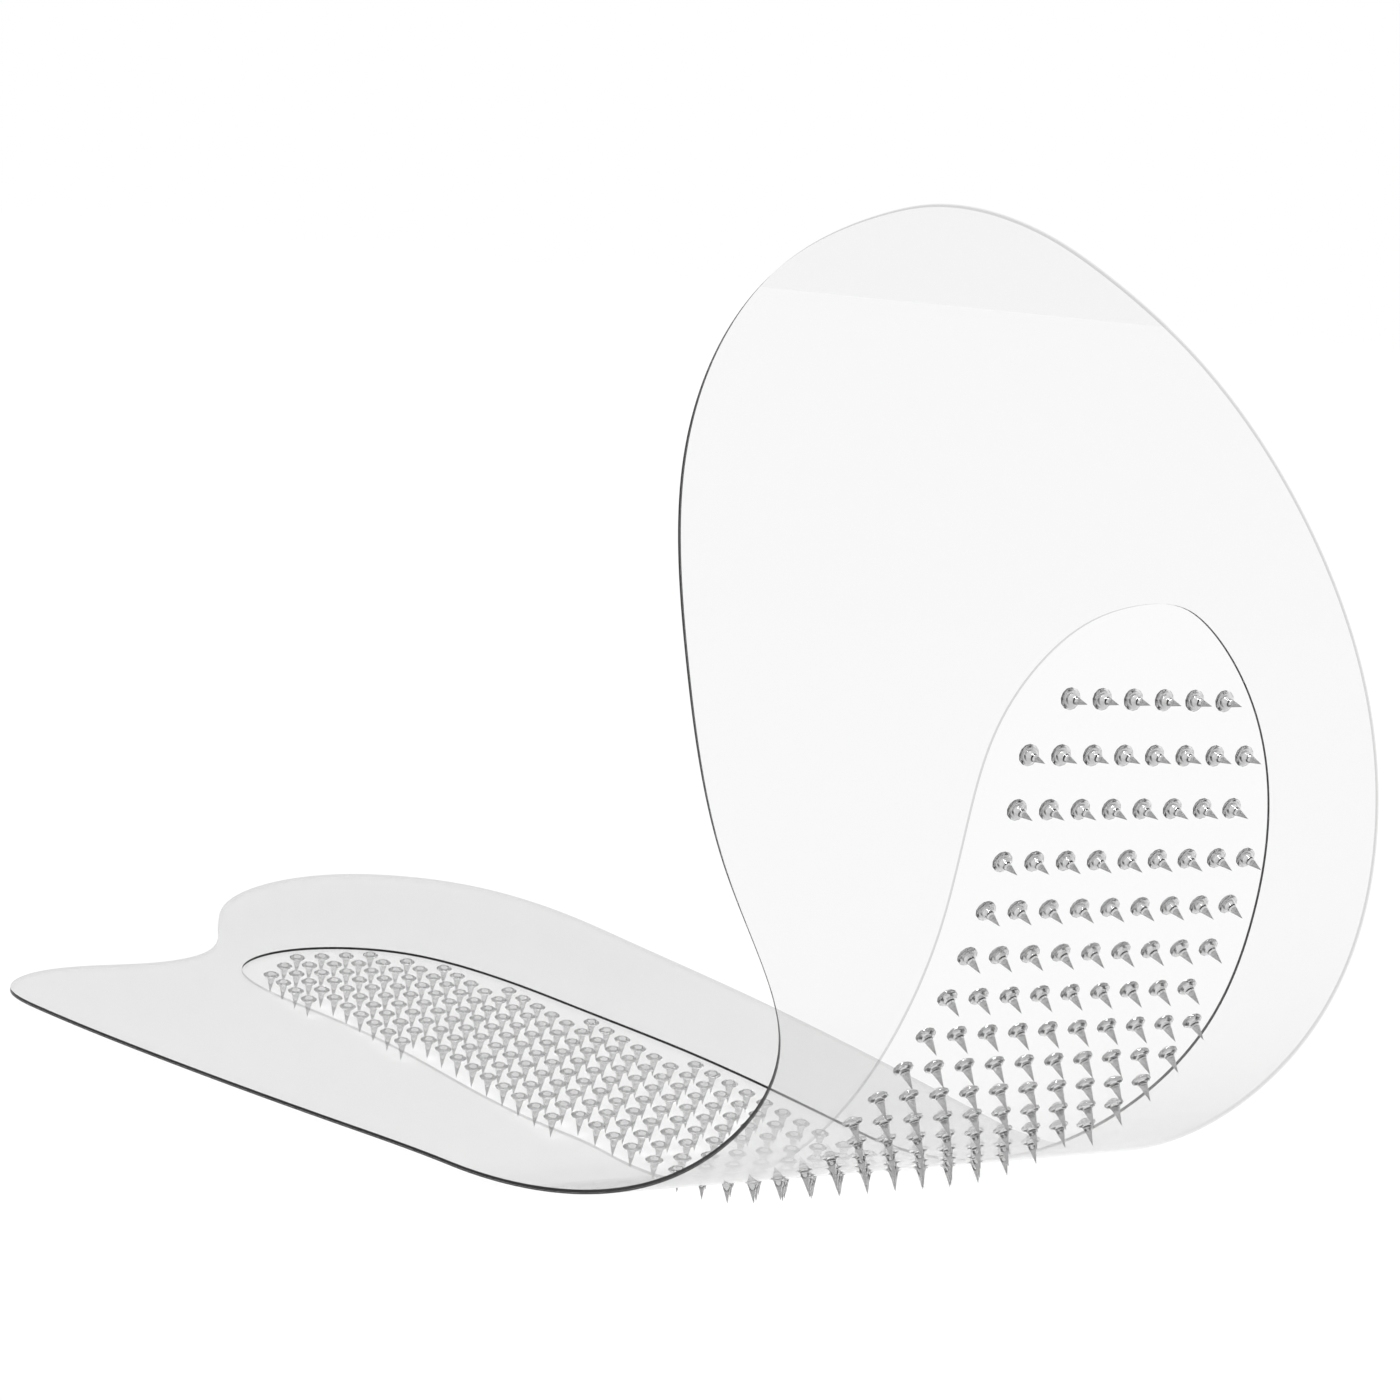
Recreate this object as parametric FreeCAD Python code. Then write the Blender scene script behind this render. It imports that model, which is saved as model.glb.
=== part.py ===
import FreeCAD, Part
import math
import os

# Clear studded grip pad, millimetres, +Z up.
# The pad is a thin film that lies flat at one end and curls up and back at the other.
# A border layer covers the film's upper face, with one long window in it. Inside the
# window, studs are pressed through holes in the film in straight rows: a domed head
# sits on the upper face, a flared foot and a sharp cone stand out below.
#
# Pad coordinates follow the film: "across" runs along X, "along" is measured on the
# film from the line where the curl begins, positive up the curl and negative over
# the flat part, and "height" is square to the film, from its lower face.

V = FreeCAD.Vector

# --- overall sizes ---
pad_width = 83.1          # widest part of the flat end
flat_length = 107.7       # from the start of the curl to the flat end's tip
curl_length = 123.0       # along the film, from the start of the curl to its tip
bend_radius = 55.0        # of the film's upper face

# --- sheets ---
film_thickness = 0.12
border_thickness = 0.28

# --- stud grid ---
column_pitch = 3.0
flat_row_pitch = 3.3      # at the drawn flat length, as the two below are at the drawn curl
curl_row_pitch = 4.11     # at the start of the curl
curl_row_growth = 0.0165  # each row on the curl stands this much further from the last
column_lean = 0.14        # sideways step of each row before the straight ones
first_column = 3.0        # across, of a column in the straight rows
first_row = -0.65         # along, of the row beside the start of the curl
flat_rows = 22
curl_rows = 20
straight_from = 12        # rows up the curl before the columns run straight
window_margin = 1.95      # least distance from a stud's axis to the window's edge

# --- one stud ---
head_radius = 0.87
head_rim = 0.12
head_height = 0.50
stem_radius = 0.42
foot_radius = 0.74
foot_height = 0.34
foot_hollow_out = 0.28    # how far out the hollow's middle lies, as a share of its width
foot_hollow_down = 0.36   # and how far down, as a share of its height
cone_radius = 0.38
stud_reach = 1.95         # from the film's lower face to the point
point_radius = 0.03

# --- clearances ---
hole_gap = 0.02           # round the stem
seat_gap = 0.01           # under the head and over the foot

# --- outlines, drawn on the pad at these sizes and scaled to the ones above ---
drawn_width = 83.1
drawn_flat = 107.7
drawn_curl = 123.0

# across, along: from the near side of the curl's start round the flat end
pad_flat = [(-12.0, 0), (-17.4, -13), (-27.9, -38.4), (-33.3, -54), (-34.2, -61.5),
            (-30.9, -66.3), (-24, -68.7), (-15, -69.3), (-8.7, -72.6), (-4.2, -80.4),
            (0.6, -92.1), (9.9, -102.9), (23.7, -107.7), (35.1, -102.9),
            (41.7, -91.8), (45.0, -72), (47.4, -48), (48.6, -24), (48.9, 0)]
window_flat = [(3.8, 0), (1.8, -8.1), (-2.4, -36.9), (-5.7, -50.4), (-7.6, -59.4),
               (-6.9, -65.7), (-2.7, -70.8), (5.4, -73.3), (13.5, -70.8),
               (19.8, -61.8), (24.9, -44.4), (28.8, -27.9), (32.4, 0)]

# along, near side across, far side across: up the curl to the tip
pad_curl = [(0, -12.0, 48.9), (18, -6.9, 49.0), (36, -5.0, 48.4), (54, -7.5, 47.4),
            (72, -18.8, 43.7), (87, -24.6, 38.0), (100.5, -25.5, 30.3),
            (112.5, -19.6, 20.9), (118.5, -12.2, 14.0), (121.8, -5.0, 8.6),
            (123, -0.6, 4.4)]
window_curl = [(0, 3.8, 32.4), (18, 4.1, 33.5), (36, 3.8, 34.6), (54, 3.0, 35.1),
               (66, 2.4, 33.3), (75, 1.8, 31.2), (82.5, 2.7, 28.2), (88, 6.3, 24.4),
               (91.2, 11.2, 20.8), (92.2, 15.4, 18.2)]

across_scale = pad_width / drawn_width
flat_scale = flat_length / drawn_flat
curl_scale = curl_length / drawn_curl


def on_film(across, along, height):
    """The point in space that lies at these pad coordinates."""
    if along <= 0:
        return V(across, -along, height)
    angle = along / bend_radius
    reach = bend_radius + film_thickness - height
    return V(across, -reach * math.sin(angle),
             bend_radius + film_thickness - reach * math.cos(angle))


def unrolled(across, along, height):
    """The same point with the film laid out flat."""
    return V(across, -along, height)


def flat_points(outline):
    return [(across * across_scale, along * flat_scale) for across, along in outline]


def curl_stations(outline):
    return [(along * curl_scale, near * across_scale, far * across_scale)
            for along, near, far in outline]


def end_slopes(flat, stations):
    """Across per along at the curl's start, on the near and the far side."""
    (a1, n1, f1) = stations[1]
    near = (n1 - flat[1][0]) / (a1 - flat[1][1])
    far = (f1 - flat[-2][0]) / (a1 - flat[-2][1])
    return near, far


def flat_edge(flat, slopes, height):
    """The outline round the flat end, open along the curl's start."""
    curve = Part.BSplineCurve()
    curve.interpolate(Points=[unrolled(x, s, height) for x, s in flat],
                      InitialTangent=V(-slopes[0], 1, 0), FinalTangent=V(slopes[1], -1, 0))
    return curve.toShape()


def side_parameters(stations):
    """Shared by both sides, so that their points pair up straight across the film."""
    values = [0.0]
    for (s0, n0, f0), (s1, n1, f1) in zip(stations, stations[1:]):
        sideways = (abs(n1 - n0) + abs(f1 - f0)) / 2
        values.append(values[-1] + math.hypot(s1 - s0, sideways))
    return values


def curl_side(stations, side, slope, height, place):
    """One side's edge up the curl: side 1 is near, side 2 is far."""
    points = [place(station[side], station[0], height) for station in stations]
    curve = Part.BSplineCurve()
    curve.interpolate(Points=points, Parameters=side_parameters(stations),
                      Tangents=[V(slope, -1, 0)] + [V(0, 0, 0)] * (len(points) - 1),
                      TangentFlags=[True] + [False] * (len(points) - 1))
    return curve.toShape()


def curled_outline(stations, slopes, low, high):
    """A block with the outline's walls square to the film, between two heights."""
    near_low, near_high = [curl_side(stations, 1, slopes[0], h, on_film) for h in (low, high)]
    far_low, far_high = [curl_side(stations, 2, slopes[1], h, on_film) for h in (low, high)]
    ends = []
    for station in (stations[0], stations[-1]):
        corners = [on_film(station[side], station[0], h)
                   for side, h in ((1, low), (2, low), (2, high), (1, high))]
        ends.append(Part.Face(Part.makePolygon(corners + corners[:1])))
    faces = [Part.makeRuledSurface(near_low, far_low), Part.makeRuledSurface(near_high, far_high),
             Part.makeRuledSurface(near_low, near_high), Part.makeRuledSurface(far_low, far_high)]
    shell = Part.Shell(Part.Compound(faces + ends).Faces)
    shell.sewShape()
    solid = Part.Solid(shell)
    if solid.Volume < 0:
        solid.reverse()
    return solid


def curled_layer(stations, slopes, low, high):
    """A layer with true round faces, wide enough for any outline, trimmed to this one."""
    spare = 1.0
    side = [(-pad_width, low), (pad_width, low), (pad_width, high), (-pad_width, high)]
    start = Part.Face(Part.makePolygon([V(x, 0, z) for x, z in side + side[:1]]))
    centre = V(0, 0, bend_radius + film_thickness)
    turn = math.degrees((stations[-1][0] + spare) / bend_radius)
    layer = start.revolve(centre, V(-1, 0, 0), turn)
    return layer.common(curled_outline(stations, slopes, low - spare, high + spare))


def sheet(flat_outline, curl_outline, low, high):
    """A solid layer of the pad between two heights."""
    flat, stations = flat_points(flat_outline), curl_stations(curl_outline)
    slopes = end_slopes(flat, stations)
    edge = flat_edge(flat, slopes, low)
    start, end = edge.Vertexes[0].Point, edge.Vertexes[-1].Point
    face = Part.Face(Part.Wire([edge, Part.makeLine(end, start)]))
    flat_layer = face.extrude(V(0, 0, high - low))
    return flat_layer.fuse(curled_layer(stations, slopes, low, high))


def unrolled_window():
    """The window's outline laid out flat, to fit the studs inside."""
    flat, stations = flat_points(window_flat), curl_stations(window_curl)
    slopes = end_slopes(flat, stations)
    near = curl_side(stations, 1, slopes[0], 0, unrolled)
    far = curl_side(stations, 2, slopes[1], 0, unrolled)
    tip = Part.makeLine(near.Vertexes[-1].Point, far.Vertexes[-1].Point)
    return Part.Face(Part.Wire(Part.__sortEdges__([flat_edge(flat, slopes, 0), near, far, tip])))


def row_along(row):
    """Rows count up the curl from 0, and down over the flat part from -1."""
    if row <= 0:
        return first_row + row * flat_row_pitch * flat_scale
    return first_row + (row * curl_row_pitch + row * row * curl_row_growth / 2) * curl_scale


def stud_places(row, window):
    """Across and along of each stud in a row, clear of the window's edge."""
    along = row_along(row)
    shift = -column_lean * max(straight_from - row, 0)
    reach = math.ceil(pad_width / column_pitch)
    places = []
    for column in range(-reach, reach + 1):
        across = first_column + column * column_pitch + shift
        spot = unrolled(across, along, 0)
        if window.isInside(spot, 0.001, True):
            if window.OuterWire.distToShape(Part.Vertex(spot))[0] >= window_margin:
                places.append((across, along))
    return places


def stud():
    """One stud, standing point down with the film's lower face at Z = 0."""
    top = film_thickness + seat_gap
    crown = top + head_height
    rim = top + head_rim
    rise = head_height - head_rim
    dome = (head_radius ** 2 + rise ** 2) / (2 * rise)
    half = math.asin(head_radius / dome) / 2
    dome_mid = V(dome * math.sin(half), 0, crown - dome + dome * math.cos(half))
    hollow = cone_radius + (foot_radius - cone_radius) * foot_hollow_out
    foot_mid = V(hollow, 0, -foot_height * foot_hollow_down)
    points = [V(0, 0, -stud_reach), V(point_radius, 0, -stud_reach),
              V(cone_radius, 0, -foot_height), V(foot_radius, 0, -seat_gap),
              V(stem_radius, 0, -seat_gap), V(stem_radius, 0, top), V(head_radius, 0, top),
              V(head_radius, 0, rim), V(0, 0, crown)]
    edges = [Part.makeLine(a, b) for a, b in zip(points, points[1:] + points[:1])]
    edges[2] = Part.Arc(points[2], foot_mid, points[3]).toShape()
    edges[7] = Part.Arc(points[7], dome_mid, points[8]).toShape()
    face = Part.Face(Part.Wire(edges))
    return face.revolve(V(0, 0, 0), V(0, 0, 1), 360)


def placed(shape, across, along):
    """A copy of a shape made at the origin, set square to the film."""
    angle = max(along, 0) / bend_radius
    turn = FreeCAD.Rotation(V(1, 0, 0), -math.degrees(angle))
    copy = shape.copy()
    copy.Placement = FreeCAD.Placement(on_film(across, along, 0), turn)
    return copy


def film_with_holes(places):
    film = sheet(pad_flat, pad_curl, 0, film_thickness)
    spare = 0.3
    drill = Part.makeCylinder(stem_radius + hole_gap, film_thickness + 2 * spare, V(0, 0, -spare))
    return film.cut(Part.Compound([placed(drill, *place) for place in places]))


def border():
    low = film_thickness
    high = film_thickness + border_thickness
    spare = 0.2
    opening = sheet(window_flat, window_curl, low - spare, high + spare)
    return sheet(pad_flat, pad_curl, low, high).cut(opening)


window = unrolled_window()
rows = range(-(flat_rows - 1), curl_rows + 1)
places = {row: stud_places(row, window) for row in rows}
one_stud = stud()

nodes = {"carrier_film": film_with_holes([place for row in rows for place in places[row]]),
         "window_border": border()}
for row in rows:
    name = f"flat_stud_row_{1 - row:02d}" if row <= 0 else f"curl_stud_row_{row:02d}"
    nodes[name] = Part.Compound([placed(one_stud, *place) for place in places[row]])

# the origin is the middle of the pad's box, at the level of its lowest points
box = FreeCAD.BoundBox()
for shape in nodes.values():
    box.add(shape.optimalBoundingBox(True, False))
home = V(-box.Center.x, -box.Center.y, -box.ZMin)

os.makedirs("parts", exist_ok=True)
for name, shape in nodes.items():
    shape.translate(home)
    shape.exportStep(f"parts/{name}.step")

print(f"{len(nodes)} nodes, {sum(len(p) for p in places.values())} studs")
print(f"box {box.XLength:.2f} x {box.YLength:.2f} x {box.ZLength:.2f}")
print("studs in each row:", {row: len(places[row]) for row in rows})
for name in ("carrier_film", "window_border"):
    shape = nodes[name]
    print(name, "solids", len(shape.Solids), "valid", shape.isValid(), f"{shape.Volume:.1f} mm3")
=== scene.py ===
# %% [markdown]
# # A clear studded grip pad
# The pad is a thin clear film. A second clear layer covers its upper face and leaves
# one long window open. Inside the window, clear studs are pressed through the film in
# straight rows: a domed head above, a flared foot and a sharp cone below. One end lies
# flat on the bench and the other end curls up and back.
#
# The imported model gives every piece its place, and is loaded first. Its box is kept,
# so that the finished pieces can be compared with it at the end.

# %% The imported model
import math

import bmesh
import bpy
import numpy as np
from mathutils import Matrix, Vector


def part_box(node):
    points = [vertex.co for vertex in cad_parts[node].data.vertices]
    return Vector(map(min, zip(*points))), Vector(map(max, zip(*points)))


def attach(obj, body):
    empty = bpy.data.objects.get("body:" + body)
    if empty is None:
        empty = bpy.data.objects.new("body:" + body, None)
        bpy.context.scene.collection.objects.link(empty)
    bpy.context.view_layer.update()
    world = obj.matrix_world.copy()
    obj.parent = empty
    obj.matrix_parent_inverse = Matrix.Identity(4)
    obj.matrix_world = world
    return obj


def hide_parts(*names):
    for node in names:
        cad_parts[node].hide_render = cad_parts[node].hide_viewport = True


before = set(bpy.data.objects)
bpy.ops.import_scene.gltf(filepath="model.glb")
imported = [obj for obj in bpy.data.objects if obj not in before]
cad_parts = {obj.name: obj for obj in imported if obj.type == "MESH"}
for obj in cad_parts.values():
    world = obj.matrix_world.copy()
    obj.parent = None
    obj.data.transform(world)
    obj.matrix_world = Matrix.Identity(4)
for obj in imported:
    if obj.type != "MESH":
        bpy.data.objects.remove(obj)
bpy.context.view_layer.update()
mm = 0.001

# %% [markdown]
# ## The camera
# A long lens from a little above the bench, turned to look along the pad from its flat
# end's near side. The three directions are the camera's own axes, so its matrix can be
# written straight from them, and there is no aiming constraint to solve.

# %% The camera
eye = Vector((-132.97, -253.6, 86.23)) * mm
to_the_right = Vector((0.8644, -0.4919, 0.1040))
ahead = Vector((0.5026, 0.8508, -0.1533)).normalized()
lens_length = 75.0
sensor_width = 36.0
nearest_seen = 10 * mm

up = to_the_right.cross(ahead).normalized()
right = ahead.cross(up).normalized()
camera_data = bpy.data.cameras.new("camera")
camera_data.lens = lens_length
camera_data.sensor_width = sensor_width
camera_data.clip_start = nearest_seen
camera = bpy.data.objects.new("camera", camera_data)
turned = Matrix((right, up, -ahead)).transposed().to_4x4()
camera.matrix_world = Matrix.Translation(eye) @ turned
bpy.context.scene.collection.objects.link(camera)
bpy.context.scene.camera = camera
print("camera stands", round(eye.xy.length / mm), "mm from the origin, seen from above")

# %% [markdown]
# ## Node trees as sums
# Both the shapes and the finishes below are node trees. Adding each Math node by hand
# hides the sum it makes, so a wire from a node can be used in a Python expression, and
# the expression adds the nodes. Every other node comes from one method, which takes
# its type, its settings and what goes into its sockets.

# %% A wire that does sums, and a bench that adds nodes
def find_socket(sockets, key):
    """A socket by number, or the first one in use with that name."""
    if isinstance(key, int):
        return sockets[key]
    return next(s for s in sockets if s.name == key and s.enabled)


def fill_socket(socket, value):
    """Plugs a wire into a socket, or sets the socket's own value."""
    if isinstance(value, Wire):
        socket.id_data.links.new(value.socket, socket)
    else:
        socket.default_value = value


class Wire:
    """A node's output. Sums on wires add Math nodes to their tree."""

    def __init__(self, socket):
        self.socket = socket

    def math(self, operation, *values):
        node = self.socket.id_data.nodes.new("ShaderNodeMath")
        node.operation = operation
        for slot, value in zip(node.inputs, values):
            fill_socket(slot, value)
        return Wire(node.outputs[0])

    def __add__(self, other):
        return self.math("ADD", self, other)

    def __radd__(self, other):
        return self.math("ADD", other, self)

    def __sub__(self, other):
        return self.math("SUBTRACT", self, other)

    def __rsub__(self, other):
        return self.math("SUBTRACT", other, self)

    def __mul__(self, other):
        return self.math("MULTIPLY", self, other)

    def __rmul__(self, other):
        return self.math("MULTIPLY", other, self)

    def __truediv__(self, other):
        return self.math("DIVIDE", self, other)

    def __pow__(self, other):
        return self.math("POWER", self, other)

    def at_least(self, other):
        return self.math("MAXIMUM", self, other)

    def sine(self):
        return self.math("SINE", self)

    def cosine(self):
        return self.math("COSINE", self)


class Node:
    """A node, whose outputs are picked by name."""

    def __init__(self, node):
        self.node = node

    def __getitem__(self, key):
        return Wire(find_socket(self.node.outputs, key))


class Bench:
    """A node tree that is being built."""

    def __init__(self, tree):
        self.tree = tree

    def node(self, kind, settings=None, values=None):
        node = self.tree.nodes.new(kind)
        for name, value in (settings or {}).items():
            if name == "stops":
                set_stops(node.color_ramp, value)
            else:
                setattr(node, name, value)
        for key, value in (values or {}).items():
            fill_socket(find_socket(node.inputs, key), value)
        return Node(node)


def set_stops(ramp, stops):
    """Gives a colour ramp these stops: place and grey level."""
    while len(ramp.elements) < len(stops):
        ramp.elements.new(0.5)
    for element, (place, grey) in zip(ramp.elements, stops):
        element.position = place
        element.color = (grey, grey, grey, 1)


# %% [markdown]
# ## The pad's own coordinates
# The pad is drawn laid out flat, because that is how such a pad is cut: X runs across
# it, Y runs down it towards the flat end, and Z is the height in the stack of layers.
# The line Y = 0 is where the curl begins, so the curl has negative Y. Bending comes
# last, and is one rule for every piece.

# %% Sizes of the pad
pad_width = 83.1 * mm
flat_length = 107.7 * mm
curl_length = 123.0 * mm
bend_radius = 55.0 * mm
film_thickness = 0.12 * mm
border_thickness = 0.28 * mm
film_low, film_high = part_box("carrier_film")
print("film lies", round(film_low.z / mm, 3), "mm above the bench")

# %% [markdown]
# The outlines are drawn with as few points as their shape needs. Each one is the same
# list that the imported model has: one part goes round the flat end, and the other
# gives the near and the far edge at a few stations up the curl. Over the tip the two
# edges join in a curve here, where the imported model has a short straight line.

# %% Outlines of the pad and of its window
pad_round_flat = [
    (-12.0, 0), (-17.4, -13), (-27.9, -38.4), (-33.3, -54), (-34.2, -61.5), (-30.9, -66.3),
    (-24, -68.7), (-15, -69.3), (-8.7, -72.6), (-4.2, -80.4), (0.6, -92.1), (9.9, -102.9),
    (23.7, -107.7), (35.1, -102.9), (41.7, -91.8), (45.0, -72), (47.4, -48), (48.6, -24),
    (48.9, 0)]
window_round_flat = [
    (3.8, 0), (1.8, -8.1), (-2.4, -36.9), (-5.7, -50.4), (-7.6, -59.4), (-6.9, -65.7),
    (-2.7, -70.8), (5.4, -73.3), (13.5, -70.8), (19.8, -61.8), (24.9, -44.4),
    (28.8, -27.9), (32.4, 0)]
pad_up_curl = [
    (0, -12.0, 48.9), (18, -6.9, 49.0), (36, -5.0, 48.4), (54, -7.5, 47.4),
    (72, -18.8, 43.7), (87, -24.6, 38.0), (100.5, -25.5, 30.3), (112.5, -19.6, 20.9),
    (118.5, -12.2, 14.0), (121.8, -5.0, 8.6), (123, -0.6, 4.4)]
window_up_curl = [
    (0, 3.8, 32.4), (18, 4.1, 33.5), (36, 3.8, 34.6), (54, 3.0, 35.1), (66, 2.4, 33.3),
    (75, 1.8, 31.2), (82.5, 2.7, 28.2), (88, 6.3, 24.4), (91.2, 11.2, 20.8),
    (92.2, 15.4, 18.2)]


# %% A smooth edge through a few points
edge_step = 0.8 * mm


def knot_slopes(knots, points, start, end):
    """Slopes at the knots that leave no kink in slope or bend, with both ends' given."""
    gaps = np.diff(knots)
    rises = np.diff(points, axis=0) / gaps[:, None]
    sums = np.zeros((len(knots), len(knots)))
    right_side = np.zeros((len(knots), 2))
    for i in range(1, len(knots) - 1):
        sums[i, i - 1] = gaps[i]
        sums[i, i] = 2 * (gaps[i - 1] + gaps[i])
        sums[i, i + 1] = gaps[i - 1]
        right_side[i] = 3 * (gaps[i] * rises[i - 1] + gaps[i - 1] * rises[i])
    for row, given in ((0, start), (-1, end)):
        sums[row, row] = 1
        right_side[row] = given
    return np.linalg.solve(sums, right_side)


def smooth_edge(knots, points, start, end):
    """Points about one step apart on a smooth curve through the given ones."""
    knots = np.array(knots, float)
    points = np.array(points, float)
    slopes = knot_slopes(knots, points, start, end)
    edge = []
    for i, gap in enumerate(np.diff(knots)):
        parts = max(2, round(gap / edge_step))
        for part in range(parts):
            t = part / parts
            blend = t * t * (3 - 2 * t)
            edge.append(points[i] * (1 - blend) + points[i + 1] * blend
                        + gap * (t * (1 - t) ** 2 * slopes[i] - t * t * (1 - t) * slopes[i + 1]))
    return edge + [points[-1]]


# %% A whole outline, round the flat end and up both sides of the curl
def outline(round_flat, up_curl):
    """The closed outline as (across, along) points, in order. One curve goes over the tip."""
    flat = [np.array(p) * mm for p in round_flat]
    curl = [np.array(p) * mm for p in up_curl]
    chords = [0.0]
    for a, b in zip(flat, flat[1:]):
        chords.append(chords[-1] + np.linalg.norm(b - a))
    stations = [0.0]
    for a, b in zip(curl, curl[1:]):
        sideways = (abs(b[1] - a[1]) + abs(b[2] - a[2])) / 2
        stations.append(stations[-1] + math.hypot(b[0] - a[0], sideways))
    near = (curl[1][1] - flat[1][0]) / (curl[1][0] - flat[1][1])
    far = (curl[1][2] - flat[-2][0]) / (curl[1][0] - flat[-2][1])
    pace = (curl[1][0] - curl[0][0]) / (stations[1] - stations[0])
    leaving = np.array((-near, -1)) / math.hypot(near, 1)
    arriving = np.array((far, 1)) / math.hypot(far, 1)
    flat_edge = smooth_edge(chords, flat, leaving, arriving)
    tip_width = curl[-1][2] - curl[-1][1]
    way_round = 2 * stations[-1] + tip_width
    round_the_tip = stations + [way_round - s for s in reversed(stations)]
    points = [(c[1], c[0]) for c in curl] + [(c[2], c[0]) for c in reversed(curl)]
    curl_edge = smooth_edge(round_the_tip, points,
                            np.array((near, 1)) * pace, np.array((far, 1)) * -pace)
    return flat_edge[:-1] + curl_edge[:0:-1]


pad_outline = outline(pad_round_flat, pad_up_curl)
window_outline = outline(window_round_flat, window_up_curl)
for name, points in (("pad", pad_outline), ("window", window_outline)):
    spread = np.ptp(points, axis=0) / mm
    print(name, "laid flat:", len(points), "points,", spread.round(1), "mm")

# %% [markdown]
# ## Where the studs stand
# The studs stand on a grid that follows the film: straight rows across it, and columns
# that lean a little over the flat part. The rows stand further apart up the curl. A
# place is used only if it lies inside the window and clear of its edge. The tree that
# plants the studs needs only these places, and so does the one that punches the holes.

# %% The stud grid
column_pitch = 3.0 * mm
flat_row_pitch = 3.3 * mm
curl_row_pitch = 4.11 * mm
curl_row_growth = 0.0165 * mm
column_lean = 0.14 * mm
first_column = 3.0 * mm
first_row = -0.65 * mm
flat_rows = 22
curl_rows = 20
straight_from = 12
window_margin = 1.95 * mm


def row_along(row):
    """How far up the film a row stands. Row 0 is beside the start of the curl."""
    if row <= 0:
        return first_row + row * flat_row_pitch
    return first_row + row * curl_row_pitch + row * row * curl_row_growth / 2


def inside(spot, edge, margin):
    """True if a spot lies inside a closed edge and at least this far from it."""
    starts = np.array(edge) - spot
    ends = np.roll(starts, -1, axis=0)
    runs = ends - starts
    share = np.clip(-(starts * runs).sum(1) / (runs * runs).sum(1), 0, 1)
    nearest = np.linalg.norm(starts + runs * share[:, None], axis=1).min()
    crosses = (starts[:, 1] > 0) != (ends[:, 1] > 0)
    crossing = starts[crosses, 0] - starts[crosses, 1] * runs[crosses, 0] / runs[crosses, 1]
    return (crossing > 0).sum() % 2 == 1 and nearest >= margin


def places_in_row(row):
    """The (across, along) places of one row's studs."""
    shift = -column_lean * max(straight_from - row, 0)
    reach = math.ceil(pad_width / column_pitch)
    spots = [(first_column + column * column_pitch + shift, row_along(row))
             for column in range(-reach, reach + 1)]
    return [spot for spot in spots if inside(spot, window_outline, window_margin)]


rows = {row: places_in_row(row) for row in range(1 - flat_rows, curl_rows + 1)}
stud_places = [spot for row in rows.values() for spot in row]
print(len(stud_places), "studs; in each row:", [len(r) for r in rows.values()])


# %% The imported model's name for each row, and how many studs it has there
head_radius = 0.87 * mm


def row_node(row):
    return f"flat_stud_row_{1 - row:02d}" if row <= 0 else f"curl_stud_row_{row:02d}"


def packed_studs(row):
    """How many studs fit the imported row's width."""
    node_low, node_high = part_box(row_node(row))
    return round((node_high.x - node_low.x - 2 * head_radius) / column_pitch) + 1


print("rows that differ from the packed model:",
      [row for row, spots in rows.items() if packed_studs(row) != len(spots)])

# %% [markdown]
# ## One rule that bends everything
# A real pad is flat until somebody peels it up, so it is modelled the same way: every
# piece is made flat and bent at the end. Geometry Nodes can move each point by a rule.
# Past the line where the curl begins, the distance along the film becomes an angle
# round the roll, and the height becomes the distance from the roll's axis. A Simple
# Deform modifier could bend too, but it can't keep one part of the sheet flat.

# %% The bend, as nodes that any tree can use
home = Vector((0, 0, film_low.z))
home.x = film_high.x - max(p[0] for p in pad_outline)
home.y = film_high.y - flat_length
print("the pad's own zero is at", [round(v / mm, 3) for v in home], "mm")


def new_tree(name, inputs):
    """A geometry tree with named inputs. Returns the bench, the input wires and the ids."""
    tree = bpy.data.node_groups.new(name, "GeometryNodeTree")
    tree.interface.new_socket("Geometry", in_out="OUTPUT", socket_type="NodeSocketGeometry")
    ids = {}
    for label, kind in [("Geometry", "Geometry")] + inputs:
        made = tree.interface.new_socket(label, in_out="INPUT", socket_type="NodeSocket" + kind)
        ids[label] = made.identifier
    bench = Bench(tree)
    return bench, bench.node("NodeGroupInput"), ids


bend_inputs = [("Bend radius", "Float"), ("Film thickness", "Float"), ("Home", "Vector")]
bend_values = {"Bend radius": bend_radius, "Film thickness": film_thickness, "Home": home}


def bent_place(bench, sizes):
    """Where a point of the flat layout ends up, and how far the film has turned there."""
    here = bench.node("GeometryNodeInputPosition")["Position"]
    flat = bench.node("ShaderNodeSeparateXYZ", values={"Vector": here})
    turn = (-1 * flat["Y"]).at_least(0) / sizes["Bend radius"]
    middle = sizes["Bend radius"] + sizes["Film thickness"]
    reach = middle - flat["Z"]
    bent = bench.node("ShaderNodeCombineXYZ", values={
        "X": flat["X"],
        "Y": flat["Y"].at_least(0) - reach * turn.sine(),
        "Z": middle - reach * turn.cosine()})
    moved = bench.node("ShaderNodeVectorMath", {"operation": "ADD"},
                       {0: bent["Vector"], 1: sizes["Home"]})
    return moved["Vector"], turn


# %% [markdown]
# ## Finishes
# Everything here is the same clear plastic, seen in three ways: the broad faces of the
# sheets, their thin cut edges, and the moulded studs. The sheets are so thin that they
# don't bend what is seen through them, so a Transparent shader stands for the clear
# part, and a glossy one is mixed in by the angle of view, as on any clear sheet. Its
# matt grey body is a painted reflection of the surround, and the cut edges are painted
# near-black from outside as painted shade. The studs are thick and round and do bend
# the light, so they get a real glass-like shader. Small unevenness from the casting rolls
# goes into the gloss as a bump.

# %% Helpers for finishes
def new_finish(name):
    """An empty material. Returns it with its bench."""
    material = bpy.data.materials.new(name)
    material.use_nodes = True
    material.node_tree.nodes.clear()
    return material, Bench(material.node_tree)


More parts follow.
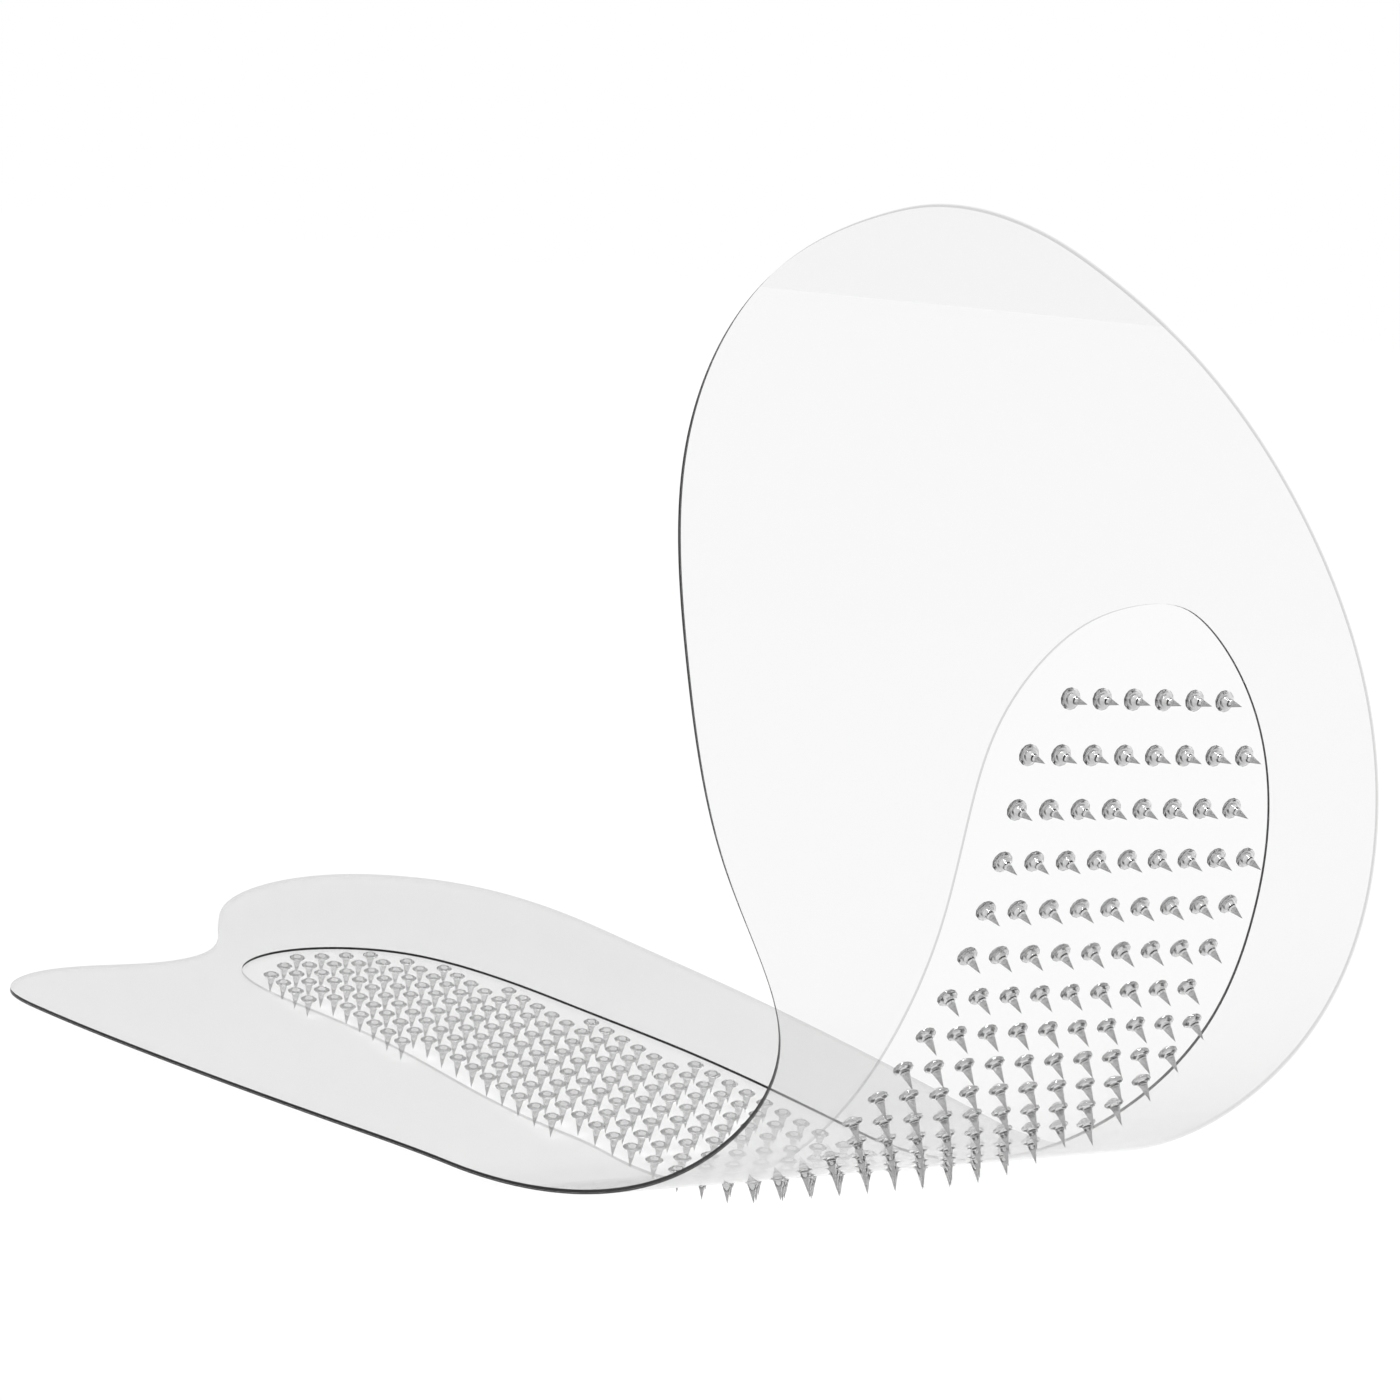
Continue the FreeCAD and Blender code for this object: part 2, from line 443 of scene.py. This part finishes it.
def show(bench, surface, volume=None):
    """Sends a finish to the material's output."""
    shown = {"Surface": surface}
    if volume:
        shown["Volume"] = volume
    bench.node("ShaderNodeOutputMaterial", values=shown)


def plain_grey(level):
    """A grey colour that is the same all over."""
    return (level, level, level, 1)


def grey(bench, level):
    """A grey colour from a wire that carries its level."""
    mixed = bench.node("ShaderNodeCombineColor", values={"Red": level, "Green": level, "Blue": level})
    return mixed["Color"]


def noise(bench, scale):
    """Soft noise fixed to the piece, about 0 to 1."""
    spot = bench.node("ShaderNodeTexCoord")["Object"]
    made = bench.node("ShaderNodeTexNoise", values={"Vector": spot, "Scale": scale, "Detail": 2.0})
    return made["Fac"]


bump_depth = 0.02 * mm


def rolled_bump(bench, height, strength):
    """The slight unevenness of a rolled or moulded face."""
    made = bench.node("ShaderNodeBump", values={
        "Strength": strength, "Distance": bump_depth, "Height": height})
    return made["Normal"]


sheen_power = 5.0


def sheen_by_angle(bench, square_on, edge_on):
    """The share of light that a clear face throws back, from square on to edge on."""
    facing = bench.node("ShaderNodeLayerWeight", values={"Blend": 0.5})["Facing"]
    return square_on + (edge_on - square_on) * facing ** sheen_power


# %% The sheets' broad faces
sheet_ior = 1.46
square_on_sheen = 0.02


def sheet_finish(name, clear_grey, painted_reflection_grey, edge_on, ripple_scale):
    """Clear cast sheet: see-through square on, shiny edge on. The gloss's matt grey base is a painted
    reflection.
    """
    material, bench = new_finish(name)
    # Painted reflection: the matt grey base colour stands in for the surround that a clear sheet
    # throws back. The noise on it is random tone.
    gloss = bench.node("ShaderNodeBsdfPrincipled", values={
        "Base Color": grey(bench, painted_reflection_grey + 0.05 * (noise(bench, 35.0) - 0.5)),
        "Roughness": 0.05 + 0.05 * noise(bench, 90.0),
        "IOR": sheet_ior,
        "Normal": rolled_bump(bench, noise(bench, ripple_scale), 0.06)})
    clear = bench.node("ShaderNodeBsdfTransparent", values={"Color": plain_grey(clear_grey)})
    sheen = sheen_by_angle(bench, square_on_sheen, edge_on)
    mixed = bench.node("ShaderNodeMixShader", values={
        "Fac": sheen, 1: clear["BSDF"], 2: gloss["BSDF"]})
    show(bench, mixed["Shader"])
    return material


# Both sheets get a painted reflection: the matt grey in their gloss.
film_clear = sheet_finish("clear_film", clear_grey=0.970, painted_reflection_grey=0.73, edge_on=1.0,
                          ripple_scale=260.0)
border_clear = sheet_finish("clear_border", clear_grey=0.996, painted_reflection_grey=0.78, edge_on=0.55,
                            ripple_scale=180.0)


# %% The cut edges, painted near-black from outside as painted shade, clear from within the sheet
def edge_finish(name, painted_dark, clear_grey):
    """A slightly rough cut, painted near-black from outside as painted shade, clear when it is seen
    from within the sheet.
    """
    material, bench = new_finish(name)
    # Painted shade: the near-black base colour stands in for how dark a clear cut edge looks from
    # outside.
    outside = bench.node("ShaderNodeBsdfPrincipled", values={
        "Base Color": grey(bench, painted_dark + 0.03 * noise(bench, 400.0)),
        "Roughness": 0.25 + 0.15 * noise(bench, 900.0),
        "IOR": sheet_ior,
        "Specular IOR Level": 0.12})
    within = bench.node("ShaderNodeBsdfTransparent", values={"Color": plain_grey(clear_grey)})
    behind = bench.node("ShaderNodeNewGeometry")["Backfacing"]
    mixed = bench.node("ShaderNodeMixShader", values={
        "Fac": behind, 1: outside["BSDF"], 2: within["BSDF"]})
    show(bench, mixed["Shader"])
    return material


# Both cut edges are painted near-black from outside: painted shade.
film_edge = edge_finish("film_cut_edge", painted_dark=0.03, clear_grey=0.85)
border_edge = edge_finish("border_cut_edge", painted_dark=0.008, clear_grey=0.72)


# %% The studs
stud_ior = 1.49
stud_grey = 0.93
smoke_density = 380.0


def stud_finish():
    """Clear moulded plastic. Lamps shine through it, so it leaves no black shadow."""
    material, bench = new_finish("clear_stud")
    flow = noise(bench, 700.0)
    plastic = bench.node("ShaderNodeBsdfPrincipled", values={
        "Base Color": grey(bench, stud_grey + 0.05 * noise(bench, 120.0)),
        "Roughness": 0.02 + 0.04 * flow,
        "IOR": stud_ior,
        "Transmission Weight": 1.0,
        "Normal": rolled_bump(bench, flow, 0.05)})
    clear = bench.node("ShaderNodeBsdfTransparent", values={"Color": plain_grey(stud_grey)})
    lamp = bench.node("ShaderNodeLightPath")["Is Shadow Ray"]
    mixed = bench.node("ShaderNodeMixShader", values={
        "Fac": lamp, 1: plastic["BSDF"], 2: clear["BSDF"]})
    smoke = bench.node("ShaderNodeVolumeAbsorption", values={
        "Color": plain_grey(0.0), "Density": smoke_density})
    show(bench, mixed["Shader"], smoke["Volume"])
    return material


stud_clear = stud_finish()
print("finishes:", [m.name for m in bpy.data.materials if m.users or m.node_tree])

# %% [markdown]
# ## Cutting the sheets
# Each sheet is a filled outline with openings: the film has a round hole for each stud
# and the border has the window. Cutting 349 holes one by one with Booleans is slow
# and fragile. Fill Curve does it in one step: it fills the outer curve and leaves out
# every curve that lies inside it. The filled face is then raised to the sheet's
# thickness and closed underneath.

# %% A tree that punches and thickens a sheet
merge_within = 0.001 * mm


def object_with(name, mesh):
    """A new object in the scene, at the origin."""
    made = bpy.data.objects.new(name, mesh)
    bpy.context.scene.collection.objects.link(made)
    return made


def loop_mesh(name, points):
    """A closed loop of edges, laid out flat."""
    mesh = bpy.data.meshes.new(name)
    count = len(points)
    spots = [(across, -along, 0) for across, along in points]
    mesh.from_pydata(spots, [(i, (i + 1) % count) for i in range(count)], [])
    return mesh


def points_mesh(name, places):
    """Loose points, laid out flat."""
    mesh = bpy.data.meshes.new(name)
    mesh.from_pydata([(across, -along, 0) for across, along in places], [], [])
    return mesh


cut_inputs = [("Openings", "Object"), ("Hole places", "Object"), ("Hole radius", "Float"),
              ("Hole sides", "Int"), ("Bottom", "Float"), ("Thickness", "Float"),
              ("Face finish", "Material"), ("Edge finish", "Material")]
cutter, cut, cut_ids = new_tree("punched_sheet", cut_inputs)
rim = cutter.node("GeometryNodeMeshToCurve", values={"Mesh": cut["Geometry"]})
opening = cutter.node("GeometryNodeObjectInfo", values={"Object": cut["Openings"]})
opening_rim = cutter.node("GeometryNodeMeshToCurve", values={"Mesh": opening["Geometry"]})
marks = cutter.node("GeometryNodeObjectInfo", values={"Object": cut["Hole places"]})
ring = cutter.node("GeometryNodeCurvePrimitiveCircle", {"mode": "RADIUS"}, {
    "Resolution": cut["Hole sides"], "Radius": cut["Hole radius"]})
rings = cutter.node("GeometryNodeInstanceOnPoints", values={
    "Points": marks["Geometry"], "Instance": ring["Curve"]})
loose_rings = cutter.node("GeometryNodeRealizeInstances", values={"Geometry": rings["Instances"]})
all_rims = cutter.node("GeometryNodeJoinGeometry", values={"Geometry": rim["Curve"]})
for extra in (opening_rim["Curve"], loose_rings["Geometry"]):
    fill_socket(all_rims.node.inputs[0], extra)
filled = cutter.node("GeometryNodeFillCurve", values={"Curve": all_rims["Geometry"]})
down = cutter.node("ShaderNodeCombineXYZ", values={"Z": cut["Bottom"]})
lowered = cutter.node("GeometryNodeSetPosition", values={
    "Geometry": filled["Mesh"], "Offset": down["Vector"]})
raised = cutter.node("ShaderNodeCombineXYZ", values={"Z": cut["Thickness"]})
walls = cutter.node("GeometryNodeExtrudeMesh", {"mode": "FACES"}, {
    "Mesh": lowered["Geometry"], "Offset": raised["Vector"], "Individual": False})
under = cutter.node("GeometryNodeFlipFaces", values={"Mesh": lowered["Geometry"]})
faced = cutter.node("GeometryNodeSetMaterial", values={
    "Geometry": walls["Mesh"], "Material": cut["Face finish"]})
edged = cutter.node("GeometryNodeSetMaterial", values={
    "Geometry": faced["Geometry"], "Selection": walls["Side"], "Material": cut["Edge finish"]})
backed = cutter.node("GeometryNodeSetMaterial", values={
    "Geometry": under["Mesh"], "Material": cut["Face finish"]})
both = cutter.node("GeometryNodeJoinGeometry", values={"Geometry": edged["Geometry"]})
fill_socket(both.node.inputs[0], backed["Geometry"])
closed = cutter.node("GeometryNodeMergeByDistance", values={
    "Geometry": both["Geometry"], "Distance": merge_within})
cutter.node("NodeGroupOutput", values={"Geometry": closed["Geometry"]})
print("tree", cutter.tree.name, "has", len(cutter.tree.nodes), "nodes")


# %% A modifier's result as a plain mesh
def baked(source, bench, ids, values, name):
    """Runs a tree on an object and returns the result as a mesh. The object goes."""
    modifier = source.modifiers.new(bench.tree.name, "NODES")
    modifier.node_group = bench.tree
    for label, value in values.items():
        modifier[ids[label]] = value
    bpy.context.view_layer.update()
    ready = source.evaluated_get(bpy.context.evaluated_depsgraph_get())
    mesh = bpy.data.meshes.new_from_object(ready)
    mesh.name = name
    source.modifiers.remove(modifier)
    bpy.data.objects.remove(source)
    return mesh


def flat_sheet(name, edge, openings, holes, sizes, finishes):
    """A sheet laid out flat: its outline, openings and holes, then bottom and thickness."""
    source = object_with(name + "_outline", loop_mesh(name + "_outline", edge))
    window = object_with(name + "_openings", loop_mesh(name + "_openings", openings))
    marks = object_with(name + "_marks", points_mesh(name + "_marks", holes))
    mesh = baked(source, cutter, cut_ids, {
        "Openings": window, "Hole places": marks, "Hole radius": hole_radius,
        "Hole sides": hole_sides, "Bottom": sizes[0], "Thickness": sizes[1],
        "Face finish": finishes[0], "Edge finish": finishes[1]}, name)
    bpy.data.objects.remove(window)
    bpy.data.objects.remove(marks)
    return mesh


stem_radius = 0.42 * mm
hole_gap = 0.02 * mm
hole_radius = stem_radius + hole_gap
hole_sides = 12
glue_gap = 0.01 * mm
flat_film = flat_sheet("carrier_film", pad_outline, [], stud_places,
                       (0, film_thickness), (film_clear, film_edge))
flat_border = flat_sheet("window_border", pad_outline, window_outline, [],
                         (film_thickness + glue_gap, border_thickness - glue_gap),
                         (border_clear, border_edge))
for mesh in (flat_film, flat_border):
    print(mesh.name, len(mesh.vertices), "points,", len(mesh.polygons), "faces")

# %% [markdown]
# ## Bending the sheets
# A sheet can only bend where it has points, and the filled faces run straight across
# it. So the curl's part is first cut across, with lines close enough together for the
# roll to look round. The bending tree then moves every point by the rule above.

# %% Lines across the curl
cut_step = 1.2 * mm
cut_tolerance = 0.0005 * mm


def cut_across(mesh):
    """Cuts the mesh at regular lines up the curl."""
    work = bmesh.new()
    work.from_mesh(mesh)
    for step in range(math.ceil(curl_length / cut_step)):
        parts = [f for f in work.faces if min(v.co.y for v in f.verts) < -step * cut_step
                 < max(v.co.y for v in f.verts)]
        around = set(parts) | {e for f in parts for e in f.edges} | {v for f in parts for v in f.verts}
        bmesh.ops.bisect_plane(work, geom=list(around), dist=cut_tolerance,
                               plane_co=(0, -step * cut_step, 0), plane_no=(0, 1, 0))
    bmesh.ops.triangulate(work, faces=[f for f in work.faces if len(f.verts) > 4])
    bmesh.ops.recalc_face_normals(work, faces=work.faces)
    work.to_mesh(mesh)
    work.free()


for mesh in (flat_film, flat_border):
    cut_across(mesh)
    print(mesh.name, "cut across:", len(mesh.polygons), "faces")

# %% The tree that bends a sheet
roller, rolled, roll_ids = new_tree("rolled_sheet", bend_inputs + [("Edge finish", "Material")])
bent, _ = bent_place(roller, rolled)
laid = roller.node("GeometryNodeSetPosition", values={
    "Geometry": rolled["Geometry"], "Position": bent})
whole = roller.node("GeometryNodeRealizeInstances", values={"Geometry": laid["Geometry"]})
at_edge = roller.node("GeometryNodeMaterialSelection", values={"Material": rolled["Edge finish"]})
kept = roller.node("GeometryNodeSetMaterial", values={
    "Geometry": whole["Geometry"], "Selection": at_edge["Selection"],
    "Material": rolled["Edge finish"]})
roller.node("NodeGroupOutput", values={"Geometry": kept["Geometry"]})
sharp_above = math.radians(40)


def rolled_piece(mesh, edge_finish, name):
    """The flat mesh bent to its place, as a finished piece."""
    source = object_with(name + "_flat", mesh)
    bent_mesh = baked(source, roller, roll_ids,
                      {**bend_values, "Edge finish": edge_finish}, name)
    bent_mesh.polygons.foreach_set("use_smooth", [True] * len(bent_mesh.polygons))
    bent_mesh.set_sharp_from_angle(angle=sharp_above)
    return object_with(name, bent_mesh)


film = rolled_piece(flat_film, film_edge, "clear_carrier_film")
border = rolled_piece(flat_border, border_edge, "clear_window_border")
for piece in (film, border):
    piece.data.calc_loop_triangles()
    print(piece.name, len(piece.data.loop_triangles), "triangles, size mm:",
          [round(v / mm, 2) for v in piece.dimensions])

# %% [markdown]
# ## The studs
# A stud is turned like a chess pawn: one profile swept round its axis. A lathe of
# twelve sides, shaded smooth, is round enough at this size, and 349 of them stay
# light. The profile follows the moulded shape from the point up: the straight cone,
# the hollow that flares into the foot, the stem that fills the hole in the film, the
# head's flat underside, its low rim and its dome.

# %% One stud
head_rim = 0.12 * mm
head_height = 0.50 * mm
foot_radius = 0.74 * mm
foot_height = 0.34 * mm
cone_radius = 0.38 * mm
foot_hollow_out = 0.28
foot_hollow_down = 0.36
shoulder_out = 0.55
stud_reach = 1.95 * mm
seat_gap = 0.01 * mm
stud_sides = 12


def dome_height(radius):
    """Height of the domed head above its rim, at a distance from its axis."""
    rise = head_height - head_rim
    ball = (head_radius ** 2 + rise ** 2) / (2 * rise)
    return math.sqrt(ball ** 2 - radius ** 2) - (ball - rise)


def stud_profile():
    """Radius and height, from the point to the crown."""
    top = film_thickness + seat_gap
    hollow = cone_radius + (foot_radius - cone_radius) * foot_hollow_out
    hollow_level = -foot_height * foot_hollow_down
    shoulder = shoulder_out * head_radius
    return [(0, -stud_reach), (cone_radius, -foot_height), (hollow, hollow_level),
            (foot_radius, -seat_gap), (stem_radius, -seat_gap), (stem_radius, top),
            (head_radius, top), (head_radius, top + head_rim),
            (shoulder, top + head_rim + dome_height(shoulder)), (0, top + head_height)]


def lathe(name, profile, sides):
    """A closed shape turned about Z from a profile that starts and ends on the axis."""
    mesh = bpy.data.meshes.new(name)
    spots = [(0, 0, profile[0][1])]
    for radius, height in profile[1:-1]:
        for side in range(sides):
            angle = 2 * math.pi * side / sides
            spots.append((radius * math.cos(angle), radius * math.sin(angle), height))
    spots.append((0, 0, profile[-1][1]))
    faces = []
    rings = len(profile) - 2
    for side in range(sides):
        beside = (side + 1) % sides
        faces.append((0, 1 + beside, 1 + side))
        for ring in range(rings - 1):
            base = 1 + ring * sides
            faces.append((base + side, base + beside, base + sides + beside, base + sides + side))
        last = 1 + (rings - 1) * sides
        faces.append((last + side, last + beside, len(spots) - 1))
    mesh.from_pydata(spots, [], faces)
    mesh.polygons.foreach_set("use_smooth", [True] * len(mesh.polygons))
    return mesh


stud_mesh = lathe("stud", stud_profile(), stud_sides)
stud_mesh.materials.append(stud_clear)  # without it an empty slot would stay on the mesh
print("one stud has", len(stud_mesh.polygons), "faces")

# %% [markdown]
# The tree sets one stud on each place. It asks the bending rule for the place and for
# the turn there, so that each stud stands square to the film wherever the film goes.

# %% The tree that plants the studs
planter, plant, plant_ids = new_tree(
    "planted_studs", [("Stud", "Object")] + bend_inputs + [("Finish", "Material")])
spot, turn = bent_place(planter, plant)
noted = planter.node("GeometryNodeCaptureAttribute", values={"Geometry": plant["Geometry"]})
noted.node.capture_items.new("FLOAT", "Turn")
fill_socket(noted.node.inputs["Turn"], turn)
stood = planter.node("GeometryNodeSetPosition", values={
    "Geometry": noted["Geometry"], "Position": spot})
tilt = planter.node("ShaderNodeCombineXYZ", values={"X": -1 * noted["Turn"]})
facing = planter.node("FunctionNodeEulerToRotation", values={"Euler": tilt["Vector"]})
shape = planter.node("GeometryNodeObjectInfo", values={"Object": plant["Stud"]})
planted = planter.node("GeometryNodeInstanceOnPoints", values={
    "Points": stood["Geometry"], "Instance": shape["Geometry"], "Rotation": facing["Rotation"]})
loose = planter.node("GeometryNodeRealizeInstances", values={"Geometry": planted["Instances"]})
finished = planter.node("GeometryNodeSetMaterial", values={
    "Geometry": loose["Geometry"], "Material": plant["Finish"]})
planter.node("NodeGroupOutput", values={"Geometry": finished["Geometry"]})

pattern = object_with("stud_pattern", stud_mesh)
field = object_with("stud_places", points_mesh("stud_places", stud_places))
stud_field = baked(field, planter, plant_ids,
                   {**bend_values, "Stud": pattern, "Finish": stud_clear}, "stud_field")
stud_field.set_sharp_from_angle(angle=sharp_above)
bpy.data.objects.remove(pattern)
studs = object_with("clear_studs", stud_field)
stud_field.calc_loop_triangles()
print("studs:", len(stud_field.polygons), "faces,", len(stud_field.loop_triangles), "triangles")

# %% [markdown]
# ## Light and floor
# Clear things show only what is around them. A pale floor and a white surround keep
# the pad bright. The greys in its faces come from a softer, greyer surround that only
# reflections and the bent light in the studs see, and on the sheets also from the painted
# reflection in their matt grey gloss. One side of that surround is dark, like the unlit
# end of a studio, and it greys the studs' rims and cones. The lamp only puts highlights
# on shiny faces. Seen through the studs it would make white streaks.

# %% The floor
floor_reach = 6.0
floor_grey = 0.30
floor_glow = 0.74
floor_mesh = bpy.data.meshes.new("floor")
corners = [(-floor_reach, -floor_reach, 0), (floor_reach, -floor_reach, 0),
           (floor_reach, floor_reach, 0), (-floor_reach, floor_reach, 0)]
floor_mesh.from_pydata(corners, [], [(0, 1, 2, 3)])
floor = object_with("floor", floor_mesh)
floor_paint, bench = new_finish("pale_floor")
matt = bench.node("ShaderNodeBsdfPrincipled", values={
    "Base Color": plain_grey(floor_grey), "Roughness": 0.9, "Specular IOR Level": 0.0,
    "Emission Color": plain_grey(1.0), "Emission Strength": floor_glow})
show(bench, matt["BSDF"])
floor_mesh.materials.append(floor_paint)

# %% The surround
world = bpy.data.worlds.new("studio")
bpy.context.scene.world = world
world.use_nodes = True
world.node_tree.nodes.clear()
sky = Bench(world.node_tree)
path = sky.node("ShaderNodeLightPath")
towards = sky.node("ShaderNodeTexCoord")["Generated"]
dark_side = (-0.46, -0.88, 0.1)
faces_dark = sky.node("ShaderNodeVectorMath", {"operation": "DOT_PRODUCT"}, {
    0: towards, 1: dark_side})
room = sky.node("ShaderNodeValToRGB", {"stops": [(0.0, 0.85), (0.2, 0.02), (1.0, 0.0)]},
                {"Fac": faces_dark["Value"]})
direct = path["Is Camera Ray"].at_least(path["Is Diffuse Ray"])
seen = sky.node("ShaderNodeMix", {"data_type": "RGBA"}, {
    "Factor": direct, "A": room["Color"], "B": plain_grey(1.0)})
glow = sky.node("ShaderNodeBackground", values={"Color": seen["Result"], "Strength": 1.0})
sky.node("ShaderNodeOutputWorld", values={"Surface": glow["Background"]})


# %% A soft lamp overhead
def soft_lamp(name, place, size, power):
    """A square lamp that faces the origin. Only shiny faces show it."""
    lamp = bpy.data.lights.new(name, "AREA")
    lamp.size = size
    lamp.energy = power
    made = object_with(name, lamp)
    made.location = place
    made.rotation_euler = (-Vector(place)).to_track_quat("-Z", "Y").to_euler()
    made.visible_diffuse = False
    made.visible_transmission = False


soft_lamp("soft_lamp_overhead", place=(-0.25, -0.15, 0.8), size=0.45, power=24.0)

# %% [markdown]
# Light passes through many clear layers here: the curl, the flat part behind it and
# the studs. With too few bounces allowed, the last layers would turn black.

# %% Enough bounces for stacked clear layers, and plain colours
cycles = bpy.context.scene.cycles
cycles.transparent_max_bounces = 48
cycles.max_bounces = 24
cycles.transmission_bounces = 24
bpy.context.scene.view_settings.view_transform = "Standard"

# %% [markdown]
# ## Fastening the pieces to the frame
# The pad is one body that only flexes, so all three pieces ride on the same one. Each
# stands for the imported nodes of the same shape.

# %% What each piece stands for
for piece, nodes, slot in (
        (film, ["carrier_film"], "film_plastic"),
        (border, ["window_border"], "border_plastic"),
        (studs, [row_node(row) for row in rows], "stud_plastic")):
    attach(piece, "root")
    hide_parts(*nodes)
    box_low = Vector([min(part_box(n)[0][i] for n in nodes) for i in range(3)])
    box_high = Vector([max(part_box(n)[1][i] for n in nodes) for i in range(3)])
    spots = np.array([v.co for v in piece.data.vertices])
    print(piece.name, "differs from the packed box by, mm:",
          ((spots.min(0) - box_low) / mm).round(3), ((spots.max(0) - box_high) / mm).round(3))
